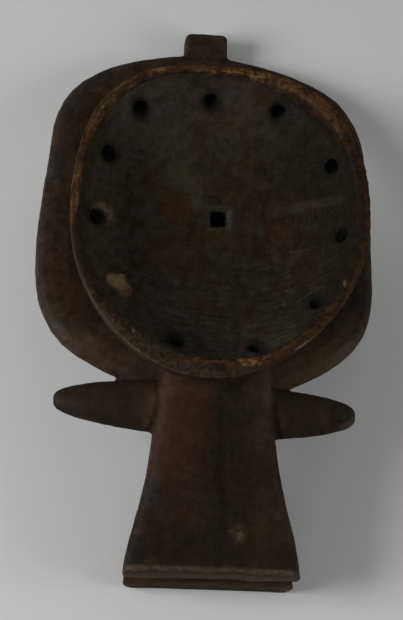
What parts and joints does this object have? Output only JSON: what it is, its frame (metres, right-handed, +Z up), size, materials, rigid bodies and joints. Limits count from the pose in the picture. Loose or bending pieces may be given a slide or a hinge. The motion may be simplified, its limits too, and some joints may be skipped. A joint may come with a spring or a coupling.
{
  "type": "carved wooden crest mask",
  "caption": "Carved wooden bush cow crest mask: a shallow cap with cord holes, a long flat muzzle with parted jaws, side ears and horns swept back into one flat ring.",
  "frame": {"origin": "centre of the footprint, on the surface the mask lies on", "axes": "+Z up, with the hollow cap facing up as pictured; +Y to the back of the head and the tab, -Y to the muzzle tip; +X to the right of the picture"},
  "size_m": [0.2296, 0.416, 0.1497],
  "materials": {
    "carved_wood": "dark worn patina over hand-cut wood, semi-matt, orange-brown where the lip is rubbed"
  },
  "bodies": {
    "root": {"crest_mask": "carved_wood"}
  },
  "joints": []
}
